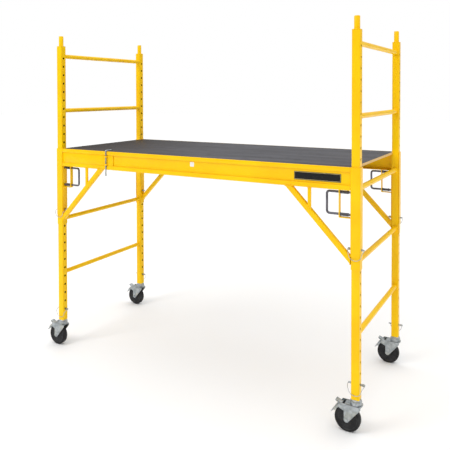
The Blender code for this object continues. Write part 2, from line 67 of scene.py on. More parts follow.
tube_low, tube_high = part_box("upright_front_left")
TUBE = tube_high.x - tube_low.x
TUBE_BOTTOM, TUBE_TOP = tube_low.z, tube_high.z
CENTRE_X = (middle("upright_front_left").x + middle("upright_front_right").x) / 2
HALF_LENGTH = middle("upright_front_right").x - CENTRE_X
HALF_DEPTH = middle("upright_rear_right").y

sleeve_low, sleeve_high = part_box("sleeve_front_right")
SLEEVE_BOTTOM, DECK_TOP = sleeve_low.z, sleeve_high.z
SLEEVE_HALF = -HALF_DEPTH - sleeve_low.y
BRACKET_X = sleeve_low.x - CENTRE_X

beam_low, beam_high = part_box("beam_front")
BEAM_REACH = beam_high.x - CENTRE_X
BEAM_BOTTOM = beam_low.z
BEAM_HALF = (beam_high.y - beam_low.y) / 2

deck_low, deck_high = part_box("deck")
DECK_END = deck_high.x - CENTRE_X
DECK_NOTCH = BEAM_REACH - 0.0007
DECK_NARROW = HALF_DEPTH - TUBE / 2 - 0.0035

TUBE_WALL = 0.0025
TUBE_CORNER = 0.0042      # radius of the uprights' corners
HOLE_PITCH = 0.0508
HOLE_TOP = TUBE_TOP - 0.070
HOLE_COUNT = 31
HOLE_RADIUS = 0.0066
HOLE_SIDES = 24
RUNG_COUNT = 5
C_PIN_HOLES = (13, 15)
SNAP_HOLE = 18
BRACKET_THICK = 0.004
BRACKET_HALF = 0.010
STOP_X = 0.874            # of the washer that a pull pin's coil pushes on, from the middle
WIRE = 0.0013             # radius of a snap pin's bail
HEAD_RADIUS = 0.0062

SHEET = 0.0035
BAND = 0.022              # proud band along the top and bottom of a beam
RECESS = 0.008            # how far the beam's web sits behind its bands
BRACE = 0.0254
STRUT_X = 0.693
COLLAR_TOP = 0.8005       # the sleeve's lower end is a slightly narrower collar

wheel_low, wheel_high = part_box("wheel_front_left")
WHEEL_RADIUS = (wheel_high.z - wheel_low.z) / 2
TRAIL = middle("upright_front_left").x - (wheel_low.x + wheel_high.x) / 2
FORK_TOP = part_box("caster_fork_front_left")[1].z
FORK_HALF = 0.0235
FORK_SHEET = 0.003
AXLE = (-TRAIL, WHEEL_RADIUS)
RACE_RADIUS, RACE_TOP = 0.0265, 0.1515
PEDAL_PIVOT = (-0.0660, 0.1210)
RUBBER_FROM = 0.0470      # a wheel is rubber outside this radius


def upright_at(side, end):
    return CENTRE_X + ENDS[end] * HALF_LENGTH, SIDES[side] * HALF_DEPTH


def along_x(end, distance):
    return CENTRE_X + ENDS[end] * distance


def hole_z(index):
    return HOLE_TOP - index * HOLE_PITCH


def square(x, y, half):
    """Outline of a square tube round an upright's middle line."""
    return [(x + a * half, y + b * half) for a, b in ((-1, -1), (1, -1), (1, 1), (-1, 1))]


def moved(outline, x, y=0.0):
    """The same outline, shifted by x and y."""
    return [(x + a, y + b) for a, b in outline]


# ---- materials ---------------------------------------------------------------------------
class Graph:
    """A Principled material with a few short ways to add and join nodes."""

    def __init__(self, name, roughness, metallic=0.0, coat=0.0, specular=0.5):
        self.material = bpy.data.materials.new(name)
        self.material.use_nodes = True
        self.tree = self.material.node_tree
        self.shader = self.tree.nodes["Principled BSDF"]
        self.shader.inputs["Roughness"].default_value = roughness
        self.shader.inputs["Metallic"].default_value = metallic
        self.shader.inputs["Coat Weight"].default_value = coat
        self.shader.inputs["Coat Roughness"].default_value = 0.12
        self.shader.inputs["Specular IOR Level"].default_value = specular
        self.place = self.add("ShaderNodeTexCoord").outputs["Object"]

    def add(self, kind, settings=None, **values):
        node = self.tree.nodes.new(kind)
        for key, value in (settings or {}).items():
            setattr(node, key, value)
        for key, value in values.items():
            self.feed(node.inputs[key.replace("_", " ")], value)
        return node

    def feed(self, socket, value):
        if isinstance(value, bpy.types.NodeSocket):
            self.tree.links.new(value, socket)
        else:
            socket.default_value = value

    def stretched(self, scale):
        return self.add("ShaderNodeMapping", Vector=self.place, Scale=scale).outputs["Vector"]

    def noise(self, scale, detail=3.0, vector=None):
        node = self.add("ShaderNodeTexNoise", Vector=vector or self.place, Scale=scale,
                        Detail=detail)
        return node.outputs["Fac"]

    def span(self, value, low, high, to_low=0.0, to_high=1.0):
        node = self.add("ShaderNodeMapRange", Value=value)
        for socket, number in zip(list(node.inputs)[1:5], (low, high, to_low, to_high)):
            socket.default_value = number
        return node.outputs["Result"]

    def math(self, operation, first, second):
        node = self.add("ShaderNodeMath", {"operation": operation})
        self.feed(node.inputs[0], first)
        self.feed(node.inputs[1], second)
        return node.outputs["Value"]

    def mix(self, share, first, second):
        node = self.add("ShaderNodeMix", {"data_type": "RGBA"})
        self.feed(node.inputs["Factor"], share)
        for socket, colour in zip([s for s in node.inputs if s.type == "RGBA"], (first, second)):
            linked = isinstance(colour, bpy.types.NodeSocket)
            self.feed(socket, colour if linked else (*colour, 1.0))
        return next(s for s in node.outputs if s.type == "RGBA")

    def edges(self, radius):
        """1 on edges that a bevel of this radius would turn, 0 on flats."""
        bevel = self.add("ShaderNodeBevel", {"samples": 4}, Radius=radius).outputs["Normal"]
        flat = self.add("ShaderNodeNewGeometry").outputs["Normal"]
        dot = self.add("ShaderNodeVectorMath", {"operation": "DOT_PRODUCT"})
        self.feed(dot.inputs[0], bevel)
        self.feed(dot.inputs[1], flat)
        return self.span(dot.outputs["Value"], 0.985, 0.90)

    def bump(self, height, strength, distance):
        node = self.add("ShaderNodeBump", Height=height, Strength=strength, Distance=distance)
        self.feed(self.shader.inputs["Normal"], node.outputs["Normal"])

    def done(self, colour, roughness=None):
        self.feed(self.shader.inputs["Base Color"], colour)
        if roughness is not None:
            self.feed(self.shader.inputs["Roughness"], roughness)
        return self.material


def yellow_paint():
    """Bright powder coat: orange-peel skin, faint tone changes, dull scuffs and thinned edges."""
    g = Graph("yellow_powder_coat", 0.36, coat=0.02, specular=0.18)
    tone = g.span(g.noise(7.0), 0.35, 0.65)
    base = g.mix(tone, (0.950, 0.545, 0.0005), (0.980, 0.612, 0.001))
    speck = g.span(g.noise(420.0, 2.0), 0.60, 0.72, 0.0, 0.35)
    base = g.mix(speck, base, (0.82, 0.42, 0.004))
    wear = g.math("MULTIPLY", g.edges(0.0014), g.span(g.noise(38.0), 0.48, 0.62, 0.0, 0.55))
    base = g.mix(wear, base, (0.70, 0.50, 0.10))
    scuff = g.span(g.noise(11.0, 6.0, g.stretched((1.0, 1.0, 0.25))), 0.52, 0.72)
    g.bump(g.noise(650.0, 1.0), 0.10, 0.0004)
    return g.done(base, g.span(scuff, 0.0, 1.0, 0.30, 0.50))


def zinc_plate():
    """Bright zinc: soft cloudy patches, fine drawing marks and a faint warm passivation tint."""
    g = Graph("zinc_plate", 0.36, metallic=1.0)
    base = g.mix(g.span(g.noise(55.0), 0.35, 0.65), (0.30, 0.33, 0.34), (0.48, 0.51, 0.53))
    base = g.mix(g.span(g.noise(24.0), 0.50, 0.70, 0.0, 0.45), base, (0.50, 0.49, 0.38))
    base = g.mix(g.math("MULTIPLY", g.edges(0.0010), 0.5), base, (0.80, 0.82, 0.84))
    grain = g.noise(160.0, 3.0, g.stretched((1.0, 1.0, 9.0)))
    g.bump(grain, 0.12, 0.0003)
    return g.done(base, g.span(grain, 0.3, 0.7, 0.30, 0.48))


def dark_steel():
    """Blackened spring steel, rubbed brighter in random patches."""
    g = Graph("blackened_steel", 0.38, metallic=0.75)
    base = g.mix(g.span(g.noise(60.0), 0.35, 0.65), (0.10, 0.10, 0.12), (0.17, 0.17, 0.20))
    rubbed = g.span(g.noise(26.0, 5.0), 0.56, 0.72, 0.0, 0.6)
    base = g.mix(rubbed, base, (0.24, 0.24, 0.26))
    g.bump(g.noise(500.0, 2.0), 0.15, 0.0003)
    return g.done(base, g.span(g.noise(90.0), 0.3, 0.7, 0.30, 0.48))


def bare_steel():
    """Uncoated mill steel inside the tubes, dark with a film of rust."""
    g = Graph("bare_steel_inside", 0.75, metallic=0.2)
    base = g.mix(g.span(g.noise(40.0, 5.0), 0.4, 0.7), (0.030, 0.024, 0.020), (0.075, 0.040, 0.022))
    g.bump(g.noise(300.0, 3.0), 0.2, 0.0003)
    return g.done(base)


def deck_film(name, dark, light, warm):
    """Resin film on plywood: fine woven wire-mesh grip, long faint streaks, dusty scuffs, and a
    painted shade that darkens it towards the left end.
    """
    g = Graph(name, 0.60, specular=0.08)
    streak = g.noise(5.0, 5.0, g.stretched((0.35, 3.0, 1.0)))
    base = g.mix(g.span(streak, 0.36, 0.64), dark, light)
    along = g.add("ShaderNodeSeparateXYZ", Vector=g.place).outputs["X"]
    # painted shade: the film turns darker and browner towards the left end, standing in for the
    # weaker reflection there
    left_end_painted_shade = g.span(along, 0.05, -0.80, 0.0, 0.9)
    base = g.mix(left_end_painted_shade, base, warm)
    base = g.mix(g.span(g.noise(16.0, 6.0), 0.55, 0.75, 0.0, 0.35), base, warm)
    weave = []
    for turn in (45, -45):
        turned = g.add("ShaderNodeMapping", Vector=g.place, Rotation=(0.0, 0.0, radians(turn)))
        wave = g.add("ShaderNodeTexWave", {"wave_type": "BANDS", "bands_direction": "X"},
                     Vector=turned.outputs["Vector"], Scale=95.0)
        weave.append(wave.outputs["Fac"])
    mesh = g.math("MAXIMUM", *weave)
    base = g.mix(g.span(mesh, 0.6, 1.0, 0.0, 0.25), base, light)
    g.bump(mesh, 0.45, 0.0005)
    return g.done(base, g.span(streak, 0.3, 0.7, 0.50, 0.68))


def plywood_edge():
    """Sawn edge of the board: thin pale and brown plies with open grain."""
    g = Graph("plywood_edge", 0.70)
    waver = g.span(g.noise(9.0, 2.0), 0.0, 1.0, -0.0006, 0.0006)
    height = g.add("ShaderNodeSeparateXYZ", Vector=g.place).outputs["Z"]
    ply = g.math("SINE", g.math("MULTIPLY", g.math("ADD", height, waver), 2 * pi / 0.0028), 0.0)
    base = g.mix(g.span(ply, -0.3, 0.3), (0.66, 0.40, 0.13), (0.86, 0.62, 0.28))
    fibre = g.noise(240.0, 4.0, g.stretched((0.08, 0.3, 2.5)))
    base = g.mix(g.span(fibre, 0.45, 0.70, 0.0, 0.5), base, (0.40, 0.22, 0.07))
    g.bump(fibre, 0.35, 0.0004)
    return g.done(base)


def rubber(name, colour, worn, roughness):
    """Black wheel material with mould bloom and floor dust."""
    g = Graph(name, roughness, specular=0.22)
    base = g.mix(g.span(g.noise(45.0, 5.0), 0.40, 0.70), colour, worn)
    g.bump(g.noise(380.0, 3.0), 0.22, 0.0004)
    return g.done(base, g.span(g.noise(70.0), 0.3, 0.7, roughness - 0.08, roughness + 0.08))


def sticker(name, colour, worn, roughness):
    """Printed vinyl with a soft gloss and tiny scuffs."""
    g = Graph(name, roughness, specular=0.15)
    base = g.mix(g.span(g.noise(130.0, 5.0), 0.58, 0.78, 0.0, 0.6), colour, worn)
    g.bump(g.noise(240.0, 2.0), 0.05, 0.0002)
    return g.done(base)


YELLOW = yellow_paint()
ZINC = zinc_plate()
DARK = dark_steel()
BARE = bare_steel()
# the last colour serves both the painted shade towards the deck's left end and the dusty scuffs
FILM = deck_film("deck_grip_film", (0.062, 0.062, 0.068), (0.118, 0.118, 0.130),
                 (0.024, 0.016, 0.010))
UNDER_FILM = deck_film("deck_under_film", (0.060, 0.042, 0.030), (0.105, 0.075, 0.055),
                       (0.09, 0.07, 0.05))
PLY = plywood_edge()
TREAD = rubber("tread_rubber", (0.012, 0.012, 0.013), (0.032, 0.032, 0.033), 0.58)
CORE = rubber("wheel_core", (0.016, 0.016, 0.017), (0.036, 0.036, 0.038), 0.42)
LABEL = sticker("label_black", (0.012, 0.012, 0.013), (0.05, 0.05, 0.05), 0.30)
LABEL_RULE = sticker("label_rule", (0.80, 0.68, 0.30), (0.55, 0.45, 0.2), 0.35)
WHITE = sticker("sticker_white", (0.84, 0.83, 0.80), (0.60, 0.58, 0.52), 0.40)


# ---- mesh tools --------------------------------------------------------------------------
def piece(name, bm, materials, body, replaces=(), angle=35):
    """Makes a piece of a bmesh, which rides on a body and may stand for CAD nodes."""
    bmesh.ops.recalc_face_normals(bm, faces=bm.faces)
    mesh = bpy.data.meshes.new(name)
    bm.to_mesh(mesh)
    bm.free()
    for material in materials:
        mesh.materials.append(material)
    mesh.shade_smooth()
    mesh.set_sharp_from_angle(angle=radians(angle))
    obj = bpy.data.objects.new(name, mesh)
    bpy.context.scene.collection.objects.link(obj)
    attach(obj, body)
    if replaces:
        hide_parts(*replaces)
    return obj


def arc(centre, radius, start, end, steps):
    """Points on an arc of a 2-D circle, from start to end degrees."""
    angles = [radians(start + (end - start) * i / steps) for i in range(steps + 1)]
    return [(centre[0] + radius * cos(a), centre[1] + radius * sin(a)) for a in angles]


def rounded(outline, radius, steps=4):
    """Fillets the corners of a closed 2-D outline, as far as its edges allow."""
    result = []
    for i, point in enumerate(outline):
        here = Vector(point)
        back = Vector(outline[i - 1]) - here
        ahead = Vector(outline[(i + 1) % len(outline)]) - here
        half = back.angle(ahead) / 2
        reach = min(radius / tan(half), 0.48 * back.length, 0.48 * ahead.length)
        fillet = reach * tan(half)
        back.normalize()
        ahead.normalize()
        centre = here + (back + ahead).normalized() * fillet / sin(half)
        first, last = here + back * reach - centre, here + ahead * reach - centre
        sweep = (atan2(last.y, last.x) - atan2(first.y, first.x) + pi) % (2 * pi) - pi
        start = atan2(first.y, first.x)
        for k in range(steps + 1):
            angle = start + sweep * k / steps
            result.append((centre.x + fillet * cos(angle), centre.y + fillet * sin(angle)))
    return result


def lay(outline, axis, along):
    """World points of a 2-D outline in the plane across an axis."""
    order = {"X": (2, 0, 1), "Y": (0, 2, 1), "Z": (0, 1, 2)}[axis]
    return [Vector([(a, b, along)[i] for i in order]) for a, b in outline]


def add_prism(bm, outline, axis, low, high, inner=None):
    """Extrudes an outline along an axis; an inner outline with as many points makes it hollow."""
    loops = [[bm.verts.new(p) for p in lay(outline, axis, at)] for at in (low, high)]
    count = len(outline)
    sets = [loops]
    if inner:
        sets.append([[bm.verts.new(p) for p in lay(inner, axis, at)] for at in (low, high)])
    faces = []
    for first, second in sets:
        for i in range(count):
            j = (i + 1) % count
            faces.append(bm.faces.new((first[i], first[j], second[j], second[i])))
    for end in (0, 1):
        if inner:
            outside, inside = sets[0][end], sets[1][end]
            for i in range(count):
                j = (i + 1) % count
                faces.append(bm.faces.new((outside[i], outside[j], inside[j], inside[i])))
        else:
            faces.append(bm.faces.new(loops[end]))
    return faces


def soften(bm, faces, width, segments=2, limit=40):
    """Bevels the sharp edges of the given faces."""
    bmesh.ops.recalc_face_normals(bm, faces=faces)
    edges = {edge for face in faces for edge in face.edges
             if len(edge.link_faces) == 2 and edge.calc_face_angle(0.0) > radians(limit)}
    bmesh.ops.bevel(bm, geom=list(edges), offset=width, segments=segments, profile=0.5,
                    affect="EDGES", clamp_overlap=True)


def add_block(bm, low, high, width=0.0006):
    """Box with bevelled edges."""
    outline = [(low[0], low[1]), (high[0], low[1]), (high[0], high[1]), (low[0], high[1])]
    soften(bm, add_prism(bm, outline, "Z", low[2], high[2]), width)


def add_turned(bm, profile, centre, axis, segments=40, closed=True, index=None):
    """Spins a profile of (radius, along) points; index gives a face's material from its radius."""
    turn = {"X": Matrix.Rotation(pi / 2, 4, "Y"), "Y": Matrix.Rotation(-pi / 2, 4, "X"),
            "Z": Matrix.Identity(4)}[axis]
    place = Matrix.Translation(centre) @ turn
    rings = []
    for k in range(segments):
        a = 2 * pi * k / segments
        rings.append([bm.verts.new(place @ Vector((r * cos(a), r * sin(a), h)))
                      for r, h in profile])
    last = len(profile) if closed else len(profile) - 1
    for k in range(segments):
        here, there = rings[k], rings[(k + 1) % segments]
        for i in range(last):
            j = (i + 1) % len(profile)
            face = bm.faces.new((here[i], there[i], there[j], here[j]))
            if index:
                face.material_index = index((profile[i][0] + profile[j][0]) / 2)
    if not closed:
        for i in (0, -1):
            bm.faces.new([ring[i] for ring in rings])


def smooth_path(points, steps=6, closed=False):
    """Catmull-Rom curve through points."""
    points = [Vector(p) for p in points]
    count = len(points)
    result = []
    for i in range(count if closed else count - 1):
        a, b, c, d = (points[(i + k) % count] if closed else points[min(max(i + k, 0), count - 1)]
                      for k in (-1, 0, 1, 2))
        for k in range(steps):
            t = k / steps
            result.append(0.5 * ((2 * b) + (c - a) * t + (2 * a - 5 * b + 4 * c - d) * t * t
                                 + (3 * b - a - 3 * c + d) * t * t * t))
    return result if closed else result + [points[-1]]


def evenly(points, spacing, closed=False):
    """Points at an even spacing along a polyline."""
    points = [Vector(p) for p in points] + ([Vector(points[0])] if closed else [])
    lengths = [(b - a).length for a, b in zip(points, points[1:])]
    total = sum(lengths)
    count = max(3, round(total / spacing))
    result, i, walked = [], 0, 0.0
    for k in range(count if closed else count + 1):
        goal = total * k / count
        while i < len(lengths) - 1 and walked + lengths[i] < goal:
            walked += lengths[i]
            i += 1
        share = (goal - walked) / lengths[i] if lengths[i] > 1e-9 else 0.0
        result.append(points[i].lerp(points[i + 1], min(share, 1.0)))
    return result


def sweep(bm, points, radius, segments=12, closed=False):
    """Round section along a path; radius is a number or one number for each point."""
    points = [Vector(p) for p in points]
    count = len(points)
    radii = radius if isinstance(radius, list) else [radius] * count
    rings = []
    side = None
    for i, point in enumerate(points):
        ahead = points[(i + 1) % count] if closed else points[min(i + 1, count - 1)]
        behind = points[i - 1] if closed or i else point
        tangent = (ahead - behind).normalized()
        side = side or tangent.orthogonal()
        side = (side - tangent * side.dot(tangent)).normalized()
        up = tangent.cross(side)
        turns = [2 * pi * k / segments for k in range(segments)]
        rings.append([bm.verts.new(point + (side * cos(a) + up * sin(a)) * radii[i])
                      for a in turns])
    for i in range(count if closed else count - 1):
        here, there = rings[i], rings[(i + 1) % count]
        for k in range(segments):
            n = (k + 1) % segments
            bm.faces.new((here[k], here[n], there[n], there[k]))
    if not closed:
        bm.faces.new(rings[0])
        bm.faces.new(rings[-1])


def add_weld(bm, path, size=0.0022, closed=True):
    """Weld bead: a rippled round along the line where two pieces meet."""
    points = evenly(path, 0.0016, closed)
    sweep(bm, points, [size * (1.0 + 0.13 * sin(i * 2.1)) for i in range(len(points))], 8, closed)


def add_round_end(bm, start, direction, radius):
    """Short domed tip on a rod's end."""
    direction = Vector(direction).normalized()
    steps = [(sin(a), cos(a)) for a in (0.0, 0.5, 1.0, 1.35)]
    points = [Vector(start) + direction * radius * 0.7 * s for s, _ in steps]
    sweep(bm, points, [radius * c for _, c in steps], 12)


def carve(bm, cutter):
    """Cuts the cutter's shapes out of a bmesh and returns the rest as a new bmesh."""
    objects = []
    for part in (bm, cutter):
        bmesh.ops.recalc_face_normals(part, faces=part.faces)
        mesh = bpy.data.meshes.new("carving")
        part.to_mesh(mesh)
        part.free()
        obj = bpy.data.objects.new("carving", mesh)
        bpy.context.scene.collection.objects.link(obj)
        objects.append(obj)
    cut = objects[0].modifiers.new("cut", "BOOLEAN")
    cut.object = objects[1]
    cut.operation = "DIFFERENCE"
    cut.solver = "EXACT"
    result = bmesh.new()
    result.from_object(objects[0], bpy.context.evaluated_depsgraph_get())
    for obj in objects:
        bpy.data.meshes.remove(obj.data)
    return result


# ---- end frames --------------------------------------------------------------------------
def make_upright(side, end):
    """Square tube with rounded corners and pin holes drilled right through."""
    x, y = upright_at(side, end)
    outside = rounded(square(x, y, TUBE / 2), TUBE_CORNER, 5)
    bore = rounded(square(x, y, TUBE / 2 - TUBE_WALL), 0.0020, 5)
    bm = bmesh.new()
    add_prism(bm, outside, "Z", TUBE_BOTTOM, TUBE_TOP, bore)
    drill = bmesh.new()
    for index in range(HOLE_COUNT):
        profile = [(HOLE_RADIUS, -TUBE), (HOLE_RADIUS, TUBE)]
        add_turned(drill, profile, (x, y, hole_z(index)), "X", HOLE_SIDES, closed=False)
    bm = carve(bm, drill)
    for face in bm.faces:
        spot = face.calc_center_median()
        # the bore's faces: further in than the facets of the rounded corners
        if max(abs(spot.x - x), abs(spot.y - y)) < TUBE / 2 - 0.0018:
            face.material_index = 1
    piece(f"drilled_tube_{side}_{end}", bm, [YELLOW, BARE], "end_frames",
          [f"upright_{side}_{end}"], 30)


def make_coupling_pin(side, end):
    """Stacking pin with a chamfered tip, on a square cap welded round the tube's end."""
    x, y = upright_at(side, end)
    low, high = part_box(f"coupling_pin_{side}_{end}")
    radius = 0.0135
    cap_top = TUBE_TOP + 0.0033
    bm = bmesh.new()
    cap = rounded(square(x, y, TUBE / 2), TUBE_CORNER, 5)
    soften(bm, add_prism(bm, cap, "Z", TUBE_TOP + 0.0002, cap_top), 0.0008)
    profile = [(0.0001, high.z), (radius - 0.0030, high.z), (radius - 0.0018, high.z - 0.0006),
               (radius, high.z - 0.0040), (radius, cap_top + 0.0016),
               (radius + 0.0018, cap_top - 0.0004), (radius, cap_top - 0.001),
               (radius, low.z), (0.0001, low.z)]
    add_turned(bm, profile, (x, y, 0), "Z", 36)
    ring = [(x + (radius + 0.0006) * cos(a), y + (radius + 0.0006) * sin(a), cap_top + 0.0004)
            for a in [2 * pi * k / 48 for k in range(48)]]
    add_weld(bm, ring, 0.0019)
    piece(f"stacking_pin_{side}_{end}", bm, [YELLOW], "end_frames", [f"coupling_pin_{side}_{end}"])


def make_rung(end, index):
    """Round rung with a weld bead where each end meets its upright."""
    low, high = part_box(f"rung_{end}_{index}")
    centre = (low + high) / 2
    radius, reach = (high.z - low.z) / 2, (high.y - low.y) / 2
    bm = bmesh.new()
    profile = [(radius, -reach), (radius, reach), (radius - 0.002, reach), (radius - 0.002, -reach)]
    add_turned(bm, profile, centre, "Y", 32)
    for sign in (-1, 1):
        turns = [2 * pi * k / 40 for k in range(40)]
        ring = [(centre.x + (radius + 0.0006) * cos(a), centre.y + sign * (reach - 0.0006),
                 centre.z + (radius + 0.0006) * sin(a)) for a in turns]
        add_weld(bm, ring, 0.0024)
    piece(f"round_rung_{end}_{index}", bm, [YELLOW], "end_frames", [f"rung_{end}_{index}"])


# ---- platform ----------------------------------------------------------------------------
def beam_section(side):
    """Section of a rolled beam, from its top rim round to the recessed web, corners filleted."""
    sign = SIDES[side]
    lip, web = BEAM_HALF - SHEET, BEAM_HALF - RECESS
    ledge = deck_low.z - 0.0003
    low, high = BEAM_BOTTOM, DECK_TOP
    section = [(BEAM_HALF, high), (lip, high), (lip, ledge), (-BEAM_HALF, ledge),
               (-BEAM_HALF, ledge - SHEET), (web - SHEET, ledge - SHEET),
               (web - SHEET, low + SHEET), (-BEAM_HALF, low + SHEET), (-BEAM_HALF, low),
               (BEAM_HALF, low), (BEAM_HALF, low + BAND), (lip, low + BAND),
               (lip, low + SHEET), (web, low + SHEET), (web, high - BAND),
               (BEAM_HALF, high - BAND)]
    return rounded([(sign * (HALF_DEPTH + out), z) for out, z in section], 0.0016, 3)


def make_beam(side):
    """Rolled beam with the weld beads that join its ends to the sleeves."""
    bm = bmesh.new()
    outline = beam_section(side)
    add_prism(bm, outline, "X", CENTRE_X - BEAM_REACH, CENTRE_X + BEAM_REACH)
    sign = SIDES[side]
    face = sign * (HALF_DEPTH + BEAM_HALF)
    web = sign * (HALF_DEPTH + BEAM_HALF - RECESS)
    for end in ENDS:
        x = along_x(end, BEAM_REACH - 0.0004)
        front = [(x, face, DECK_TOP - 0.002), (x, face, DECK_TOP - BAND),
                 (x, web, DECK_TOP - BAND - 0.001), (x, web, BEAM_BOTTOM + BAND),
                 (x, face, BEAM_BOTTOM + BAND), (x, face, BEAM_BOTTOM + 0.001)]
        add_weld(bm, front, 0.0022, closed=False)
    piece(f"rolled_beam_{side}", bm, [YELLOW], "platform", [f"beam_{side}"], 30)


def make_sleeve(side, end):
    """Folded channel round three sides of the upright, with a collar and the pull pin's bracket."""
    x, y = upright_at(side, end)
    sign, toward = SIDES[side], ENDS[end]
    inner = TUBE / 2 + 0.0006
    rim = -sign * TUBE / 2

    def channel(outer):
        shape = [(x - outer, y + sign * outer), (x + outer, y + sign * outer), (x + outer, y + rim),
                 (x + inner, y + rim), (x + inner, y + sign * inner), (x - inner, y + sign * inner),
                 (x - inner, y + rim), (x - outer, y + rim)]
        # the two outer folds are wide bends, and each fillet is five points
        return rounded(shape, 0.0050, 4)[:10] + rounded(shape, 0.0012, 4)[10:]

    bm = bmesh.new()
    add_prism(bm, channel(SLEEVE_HALF), "Z", COLLAR_TOP + 0.0007, DECK_TOP)
    add_prism(bm, channel(SLEEVE_HALF - 0.0014), "Z", SLEEVE_BOTTOM, COLLAR_TOP + 0.0009)
    drill = bmesh.new()
    for index in C_PIN_HOLES:
        profile = [(HOLE_RADIUS, -SLEEVE_HALF / 2), (HOLE_RADIUS, SLEEVE_HALF / 2)]
        add_turned(drill, profile, (x - toward * SLEEVE_HALF, y, hole_z(index)), "X", HOLE_SIDES,
                   closed=False)
    profile = [(HOLE_RADIUS, -SLEEVE_HALF * 2), (HOLE_RADIUS, SLEEVE_HALF * 2)]
    add_turned(drill, profile, (x, y, hole_z(SNAP_HOLE)), "X", HOLE_SIDES, closed=False)
    bm = carve(bm, drill)

    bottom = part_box(f"c_pin_{side}_{end}")[0].z - 0.0079
    near, far = along_x(end, BRACKET_X), along_x(end, BRACKET_X + BRACKET_THICK)
    root = x - toward * (SLEEVE_HALF - 0.0005)
    strap = [(near, bottom), (root, bottom), (root, bottom + SHEET), (far, bottom + SHEET),
             (far, BEAM_BOTTOM - 0.0003), (near, BEAM_BOTTOM - 0.0003)]
    plate = bmesh.new()
    add_prism(plate, rounded(strap, 0.0024, 4), "Y", y - BRACKET_HALF, y + BRACKET_HALF)
    drill = bmesh.new()
    for index in C_PIN_HOLES:
        add_turned(drill, [(0.0060, -0.02), (0.0060, 0.02)], (near, y, hole_z(index)), "X",
                   HOLE_SIDES, closed=False)
    plate = carve(plate, drill)
    mesh = bpy.data.meshes.new("plate")
    plate.to_mesh(mesh)
    plate.free()
    bm.from_mesh(mesh)
    bpy.data.meshes.remove(mesh)
    foot = bottom + SHEET + 0.0004
    add_weld(bm, [(root, y - BRACKET_HALF, foot), (root, y + BRACKET_HALF, foot)], 0.0018,
             closed=False)
    top, seam = BEAM_BOTTOM - 0.0008, near - toward * 0.0004
    add_weld(bm, [(seam, y - 0.0095, top), (seam, y + 0.0095, top)], 0.0015, closed=False)
    piece(f"folded_channel_{side}_{end}", bm, [YELLOW], "platform", [f"sleeve_{side}_{end}"], 30)


def make_brace(side, end):
    """Square diagonal with rounded corners, its flat strut, and their weld beads."""
    sign = SIDES[side]
    low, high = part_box(f"brace_{side}_{end}")
    face = sign * (HALF_DEPTH + SLEEVE_HALF)
    foot_x = BEAM_REACH
    foot_low, head_z = low.z, high.z
    inmost = min(abs(low.x - CENTRE_X), abs(high.x - CENTRE_X))
    # the lower edge runs from (foot_x, foot_low) to (inmost, head_z)
    slope = atan2(head_z - foot_low, foot_x - inmost)
    rise, run = BRACE / 2 / cos(slope), BRACE / 2 / sin(slope)
    outline = [(along_x(end, foot_x), foot_low), (along_x(end, foot_x), foot_low + 2 * rise),
               (along_x(end, inmost + 2 * run), head_z), (along_x(end, inmost), head_z)]
    bm = bmesh.new()
    add_prism(bm, outline, "Y", *sorted((face, face - sign * BRACE)))
    bmesh.ops.recalc_face_normals(bm, faces=bm.faces)
    long_edges = [e for e in bm.edges if abs(e.verts[0].co.y - e.verts[1].co.y) < 1e-6
                  and abs(e.verts[0].co.x - e.verts[1].co.x) > 0.1]
    bmesh.ops.bevel(bm, geom=long_edges, offset=0.0034, segments=4, profile=0.5, affect="EDGES")

    def seat(x):
        """Where the strut meets the diagonal's upper face, at a distance from the middle."""
        return along_x(end, x), foot_low + 2 * rise + (foot_x - x) * tan(slope) - 0.0015

    near, far = STRUT_X - 0.008, STRUT_X + 0.008
    strut = [seat(near), seat(far), (along_x(end, far), head_z), (along_x(end, near), head_z)]
    depth = sorted((face - sign * 0.0005, face - sign * 0.0105))
    soften(bm, add_prism(bm, strut, "Y", *depth), 0.0012)

    back = face - sign * BRACE
    x = along_x(end, foot_x - 0.0006)
    foot_high = foot_low + 2 * rise
    foot = [(x, face, foot_low), (x, face, foot_high), (x, back, foot_high), (x, back, foot_low)]
    add_weld(bm, foot, 0.0022)
    a, b = along_x(end, inmost), along_x(end, inmost + 2 * run)
    top = head_z - 0.0004
    add_weld(bm, [(a, face, top), (b, face, top), (b, back, top), (a, back, top)], 0.0022)
    a, b = along_x(end, near), along_x(end, far)
    inside = face - sign * 0.0105
    add_weld(bm, [(a, face, top), (b, face, top), (b, inside, top), (a, inside, top)], 0.0016)
    seam = [(px, face - sign * 0.0006, pz + 0.0015) for px, pz in (seat(near), seat(far))]
    add_weld(bm, seam, 0.0016, closed=False)
    piece(f"square_diagonal_{side}_{end}", bm, [YELLOW], "platform", [f"brace_{side}_{end}"], 30)


def make_deck():
    """Film-faced plywood board with bare sawn edges, notched round the sleeves."""
    wide = deck_high.y
    quarter = [(DECK_END, DECK_NARROW), (DECK_NOTCH, DECK_NARROW), (DECK_NOTCH, wide)]
    outline = [(CENTRE_X + px, py) for px, py in quarter]
    outline += [(CENTRE_X - px, py) for px, py in reversed(quarter)]
    outline += [(CENTRE_X - px, -py) for px, py in quarter]
    outline += [(CENTRE_X + px, -py) for px, py in reversed(quarter)]
    bm = bmesh.new()
    faces = add_prism(bm, rounded(outline, 0.0025, 3), "Z", deck_low.z, deck_high.z)
    soften(bm, faces, 0.0006, 2)
    bmesh.ops.recalc_face_normals(bm, faces=bm.faces)
    for face in bm.faces:
        face.material_index = 0 if face.normal.z > 0.6 else 2 if face.normal.z < -0.6 else 1
    piece("plywood_board", bm, [FILM, PLY, UNDER_FILM], "platform", ["deck"])


def latch_axis():
    rod_low, rod_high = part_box("deck_latch")
    radius = (rod_high.x - rod_low.x) / 2
    return (rod_low.x + rod_high.x) / 2, rod_low.y + radius, radius


